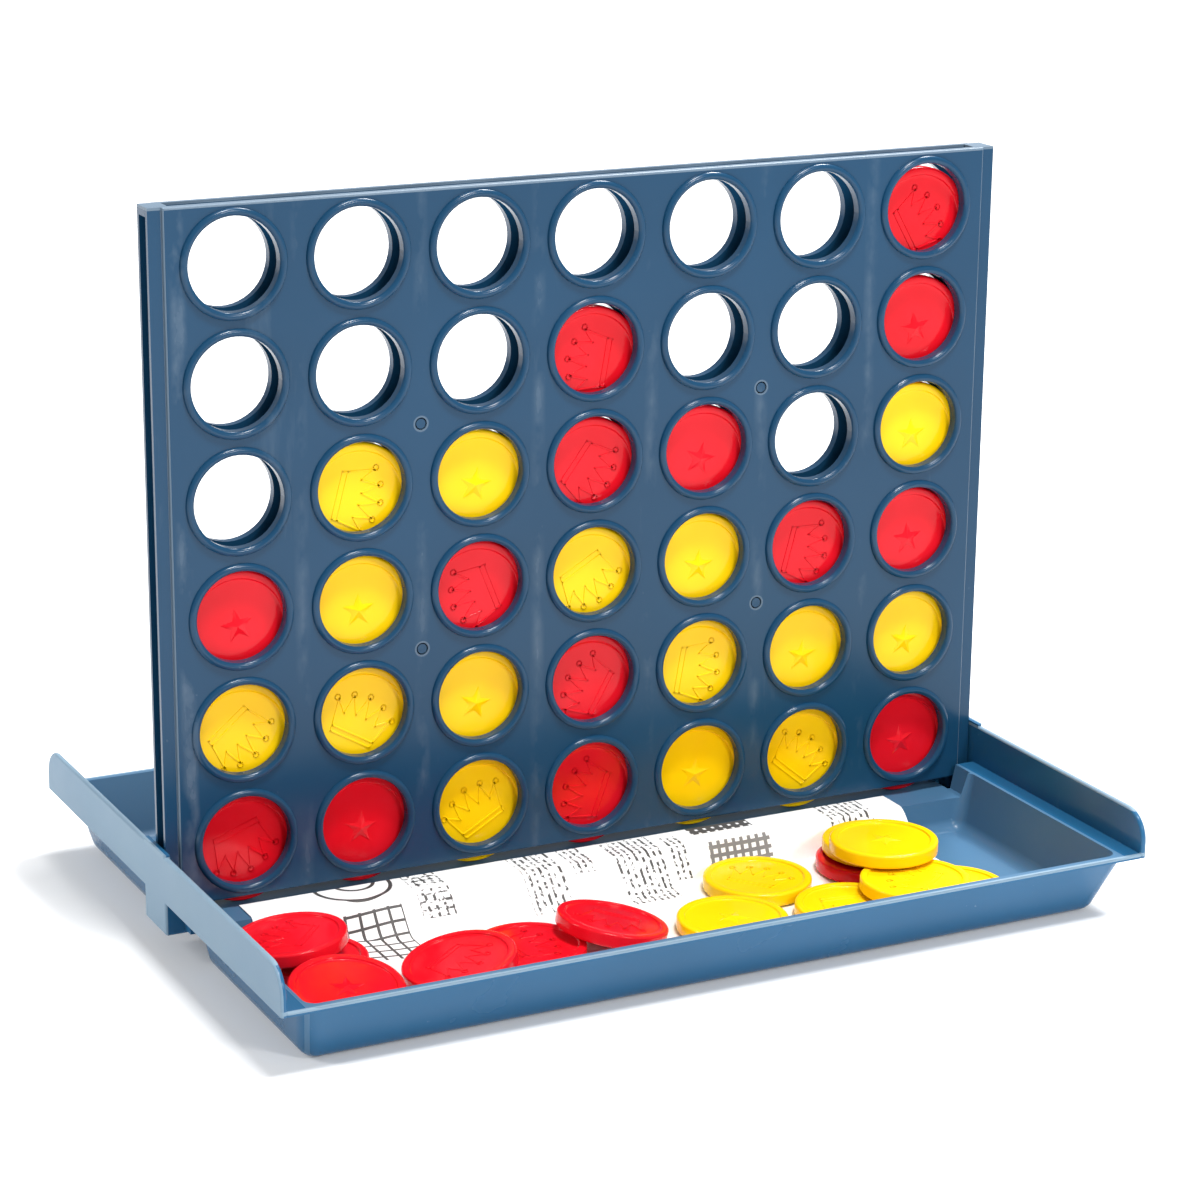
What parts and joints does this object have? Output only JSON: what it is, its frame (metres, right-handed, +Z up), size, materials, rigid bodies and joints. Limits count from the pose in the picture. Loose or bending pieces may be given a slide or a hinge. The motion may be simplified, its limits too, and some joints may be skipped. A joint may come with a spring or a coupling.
{
  "type": "four in a row frame",
  "caption": "Upright two-sided grid of round viewing holes standing in a shallow tray, with discs dropped down its columns and spare discs lying in the tray.",
  "frame": {"origin": "on the resting surface, under the middle of the upright frame", "axes": "+X along the frame's width, -Y towards the front player, +Z up"},
  "size_m": [0.248, 0.178, 0.1959],
  "materials": {
    "tray_plastic": "semi-gloss blue injection moulding",
    "panel_plastic": "semi-gloss blue injection moulding",
    "red_plastic": "gloss",
    "yellow_plastic": "gloss",
    "paper": null
  },
  "bodies": {
    "tray": {"Base_tray": "tray_plastic", "Instruction_sheet": "paper"},
    "frame": {"Front_grid_panel": "panel_plastic", "Rear_grid_panel": "panel_plastic", "Column_dividers": "panel_plastic"},
    "red_column_1_row_1": {"Red_disc_column_1_row_1": "red_plastic"},
    "yellow_column_1_row_2": {"Yellow_disc_column_1_row_2": "yellow_plastic"},
    "red_column_1_row_3": {"Red_disc_column_1_row_3": "red_plastic"},
    "red_column_2_row_1": {"Red_disc_column_2_row_1": "red_plastic"},
    "yellow_column_2_row_2": {"Yellow_disc_column_2_row_2": "yellow_plastic"},
    "yellow_column_2_row_3": {"Yellow_disc_column_2_row_3": "yellow_plastic"},
    "yellow_column_2_row_4": {"Yellow_disc_column_2_row_4": "yellow_plastic"},
    "yellow_column_3_row_1": {"Yellow_disc_column_3_row_1": "yellow_plastic"},
    "yellow_column_3_row_2": {"Yellow_disc_column_3_row_2": "yellow_plastic"},
    "red_column_3_row_3": {"Red_disc_column_3_row_3": "red_plastic"},
    "yellow_column_3_row_4": {"Yellow_disc_column_3_row_4": "yellow_plastic"},
    "red_column_4_row_1": {"Red_disc_column_4_row_1": "red_plastic"},
    "red_column_4_row_2": {"Red_disc_column_4_row_2": "red_plastic"},
    "yellow_column_4_row_3": {"Yellow_disc_column_4_row_3": "yellow_plastic"},
    "red_column_4_row_4": {"Red_disc_column_4_row_4": "red_plastic"},
    "red_column_4_row_5": {"Red_disc_column_4_row_5": "red_plastic"},
    "yellow_column_5_row_1": {"Yellow_disc_column_5_row_1": "yellow_plastic"},
    "yellow_column_5_row_2": {"Yellow_disc_column_5_row_2": "yellow_plastic"},
    "yellow_column_5_row_3": {"Yellow_disc_column_5_row_3": "yellow_plastic"},
    "red_column_5_row_4": {"Red_disc_column_5_row_4": "red_plastic"},
    "yellow_column_6_row_1": {"Yellow_disc_column_6_row_1": "yellow_plastic"},
    "yellow_column_6_row_2": {"Yellow_disc_column_6_row_2": "yellow_plastic"},
    "red_column_6_row_3": {"Red_disc_column_6_row_3": "red_plastic"},
    "red_column_7_row_1": {"Red_disc_column_7_row_1": "red_plastic"},
    "yellow_column_7_row_2": {"Yellow_disc_column_7_row_2": "yellow_plastic"},
    "red_column_7_row_3": {"Red_disc_column_7_row_3": "red_plastic"},
    "yellow_column_7_row_4": {"Yellow_disc_column_7_row_4": "yellow_plastic"},
    "red_column_7_row_5": {"Red_disc_column_7_row_5": "red_plastic"},
    "red_column_7_row_6": {"Red_disc_column_7_row_6": "red_plastic"},
    "red_loose_1": {"Red_disc_loose_1": "red_plastic"},
    "red_loose_2": {"Red_disc_loose_2": "red_plastic"},
    "red_loose_3": {"Red_disc_loose_3": "red_plastic"},
    "red_loose_4": {"Red_disc_loose_4": "red_plastic"},
    "red_loose_5": {"Red_disc_loose_5": "red_plastic"},
    "red_loose_6": {"Red_disc_loose_6": "red_plastic"},
    "red_loose_7": {"Red_disc_loose_7": "red_plastic"},
    "yellow_loose_1": {"Yellow_disc_loose_1": "yellow_plastic"},
    "yellow_loose_2": {"Yellow_disc_loose_2": "yellow_plastic"},
    "yellow_loose_3": {"Yellow_disc_loose_3": "yellow_plastic"},
    "yellow_loose_4": {"Yellow_disc_loose_4": "yellow_plastic"},
    "yellow_loose_5": {"Yellow_disc_loose_5": "yellow_plastic"},
    "yellow_loose_6": {"Yellow_disc_loose_6": "yellow_plastic"},
    "yellow_loose_7": {"Yellow_disc_loose_7": "yellow_plastic"}
  },
  "joints": [
    {"name": "frame_lift", "type": "slide", "parent": "tray", "child": "frame", "axis": [0, 0, 1], "range_m": [0, 0.2]},
    {"name": "column_1_row_1_slide", "type": "slide", "parent": "tray", "child": "red_column_1_row_1", "axis": [0, 0, 1], "range_m": [0, 0.1886]},
    {"name": "column_1_row_2_slide", "type": "slide", "parent": "red_column_1_row_1", "child": "yellow_column_1_row_2", "axis": [0, 0, 1], "range_m": [0, 0.1585]},
    {"name": "column_1_row_3_slide", "type": "slide", "parent": "yellow_column_1_row_2", "child": "red_column_1_row_3", "axis": [0, 0, 1], "range_m": [0, 0.1284]},
    {"name": "column_2_row_1_slide", "type": "slide", "parent": "tray", "child": "red_column_2_row_1", "axis": [0, 0, 1], "range_m": [0, 0.1886]},
    {"name": "column_2_row_2_slide", "type": "slide", "parent": "red_column_2_row_1", "child": "yellow_column_2_row_2", "axis": [0, 0, 1], "range_m": [0, 0.1585]},
    {"name": "column_2_row_3_slide", "type": "slide", "parent": "yellow_column_2_row_2", "child": "yellow_column_2_row_3", "axis": [0, 0, 1], "range_m": [0, 0.1284]},
    {"name": "column_2_row_4_slide", "type": "slide", "parent": "yellow_column_2_row_3", "child": "yellow_column_2_row_4", "axis": [0, 0, 1], "range_m": [0, 0.0984]},
    {"name": "column_3_row_1_slide", "type": "slide", "parent": "tray", "child": "yellow_column_3_row_1", "axis": [0, 0, 1], "range_m": [0, 0.1886]},
    {"name": "column_3_row_2_slide", "type": "slide", "parent": "yellow_column_3_row_1", "child": "yellow_column_3_row_2", "axis": [0, 0, 1], "range_m": [0, 0.1585]},
    {"name": "column_3_row_3_slide", "type": "slide", "parent": "yellow_column_3_row_2", "child": "red_column_3_row_3", "axis": [0, 0, 1], "range_m": [0, 0.1284]},
    {"name": "column_3_row_4_slide", "type": "slide", "parent": "red_column_3_row_3", "child": "yellow_column_3_row_4", "axis": [0, 0, 1], "range_m": [0, 0.0984]},
    {"name": "column_4_row_1_slide", "type": "slide", "parent": "tray", "child": "red_column_4_row_1", "axis": [0, 0, 1], "range_m": [0, 0.1886]},
    {"name": "column_4_row_2_slide", "type": "slide", "parent": "red_column_4_row_1", "child": "red_column_4_row_2", "axis": [0, 0, 1], "range_m": [0, 0.1585]},
    {"name": "column_4_row_3_slide", "type": "slide", "parent": "red_column_4_row_2", "child": "yellow_column_4_row_3", "axis": [0, 0, 1], "range_m": [0, 0.1284]},
    {"name": "column_4_row_4_slide", "type": "slide", "parent": "yellow_column_4_row_3", "child": "red_column_4_row_4", "axis": [0, 0, 1], "range_m": [0, 0.0984]},
    {"name": "column_4_row_5_slide", "type": "slide", "parent": "red_column_4_row_4", "child": "red_column_4_row_5", "axis": [0, 0, 1], "range_m": [0, 0.0683]},
    {"name": "column_5_row_1_slide", "type": "slide", "parent": "tray", "child": "yellow_column_5_row_1", "axis": [0, 0, 1], "range_m": [0, 0.1886]},
    {"name": "column_5_row_2_slide", "type": "slide", "parent": "yellow_column_5_row_1", "child": "yellow_column_5_row_2", "axis": [0, 0, 1], "range_m": [0, 0.1585]},
    {"name": "column_5_row_3_slide", "type": "slide", "parent": "yellow_column_5_row_2", "child": "yellow_column_5_row_3", "axis": [0, 0, 1], "range_m": [0, 0.1284]},
    {"name": "column_5_row_4_slide", "type": "slide", "parent": "yellow_column_5_row_3", "child": "red_column_5_row_4", "axis": [0, 0, 1], "range_m": [0, 0.0984]},
    {"name": "column_6_row_1_slide", "type": "slide", "parent": "tray", "child": "yellow_column_6_row_1", "axis": [0, 0, 1], "range_m": [0, 0.1886]},
    {"name": "column_6_row_2_slide", "type": "slide", "parent": "yellow_column_6_row_1", "child": "yellow_column_6_row_2", "axis": [0, 0, 1], "range_m": [0, 0.1585]},
    {"name": "column_6_row_3_slide", "type": "slide", "parent": "yellow_column_6_row_2", "child": "red_column_6_row_3", "axis": [0, 0, 1], "range_m": [0, 0.1284]},
    {"name": "column_7_row_1_slide", "type": "slide", "parent": "tray", "child": "red_column_7_row_1", "axis": [0, 0, 1], "range_m": [0, 0.1886]},
    {"name": "column_7_row_2_slide", "type": "slide", "parent": "red_column_7_row_1", "child": "yellow_column_7_row_2", "axis": [0, 0, 1], "range_m": [0, 0.1585]},
    {"name": "column_7_row_3_slide", "type": "slide", "parent": "yellow_column_7_row_2", "child": "red_column_7_row_3", "axis": [0, 0, 1], "range_m": [0, 0.1284]},
    {"name": "column_7_row_4_slide", "type": "slide", "parent": "red_column_7_row_3", "child": "yellow_column_7_row_4", "axis": [0, 0, 1], "range_m": [0, 0.0984]},
    {"name": "column_7_row_5_slide", "type": "slide", "parent": "yellow_column_7_row_4", "child": "red_column_7_row_5", "axis": [0, 0, 1], "range_m": [0, 0.0683]},
    {"name": "column_7_row_6_slide", "type": "slide", "parent": "red_column_7_row_5", "child": "red_column_7_row_6", "axis": [0, 0, 1], "range_m": [0, 0.0383]},
    {"name": "red_loose_1_lift", "type": "slide", "parent": "tray", "child": "red_loose_1", "axis": [0, 0, 1], "range_m": [0, 0.06]},
    {"name": "red_loose_2_lift", "type": "slide", "parent": "red_loose_1", "child": "red_loose_2", "axis": [0, 0, 1], "range_m": [0, 0.06]},
    {"name": "red_loose_3_lift", "type": "slide", "parent": "red_loose_1", "child": "red_loose_3", "axis": [0, 0, 1], "range_m": [0, 0.06]},
    {"name": "red_loose_4_lift", "type": "slide", "parent": "tray", "child": "red_loose_4", "axis": [0, 0, 1], "range_m": [0, 0.06]},
    {"name": "red_loose_5_lift", "type": "slide", "parent": "red_loose_4", "child": "red_loose_5", "axis": [0, 0, 1], "range_m": [0, 0.06]},
    {"name": "red_loose_6_lift", "type": "slide", "parent": "red_loose_4", "child": "red_loose_6", "axis": [0, 0, 1], "range_m": [0, 0.06]},
    {"name": "red_loose_7_lift", "type": "slide", "parent": "tray", "child": "red_loose_7", "axis": [0, 0, 1], "range_m": [0, 0.06]},
    {"name": "yellow_loose_1_lift", "type": "slide", "parent": "red_loose_7", "child": "yellow_loose_1", "axis": [0, 0, 1], "range_m": [0, 0.06]},
    {"name": "yellow_loose_2_lift", "type": "slide", "parent": "yellow_loose_7", "child": "yellow_loose_2", "axis": [0, 0, 1], "range_m": [0, 0.06]},
    {"name": "yellow_loose_3_lift", "type": "slide", "parent": "tray", "child": "yellow_loose_3", "axis": [0, 0, 1], "range_m": [0, 0.06]},
    {"name": "yellow_loose_4_lift", "type": "slide", "parent": "tray", "child": "yellow_loose_4", "axis": [0, 0, 1], "range_m": [0, 0.06]},
    {"name": "yellow_loose_5_lift", "type": "slide", "parent": "yellow_loose_1", "child": "yellow_loose_5", "axis": [0, 0, 1], "range_m": [0, 0.06]},
    {"name": "yellow_loose_6_lift", "type": "slide", "parent": "yellow_loose_5", "child": "yellow_loose_6", "axis": [0, 0, 1], "range_m": [0, 0.06]},
    {"name": "yellow_loose_7_lift", "type": "slide", "parent": "yellow_loose_6", "child": "yellow_loose_7", "axis": [0, 0, 1], "range_m": [0, 0.06]}
  ]
}
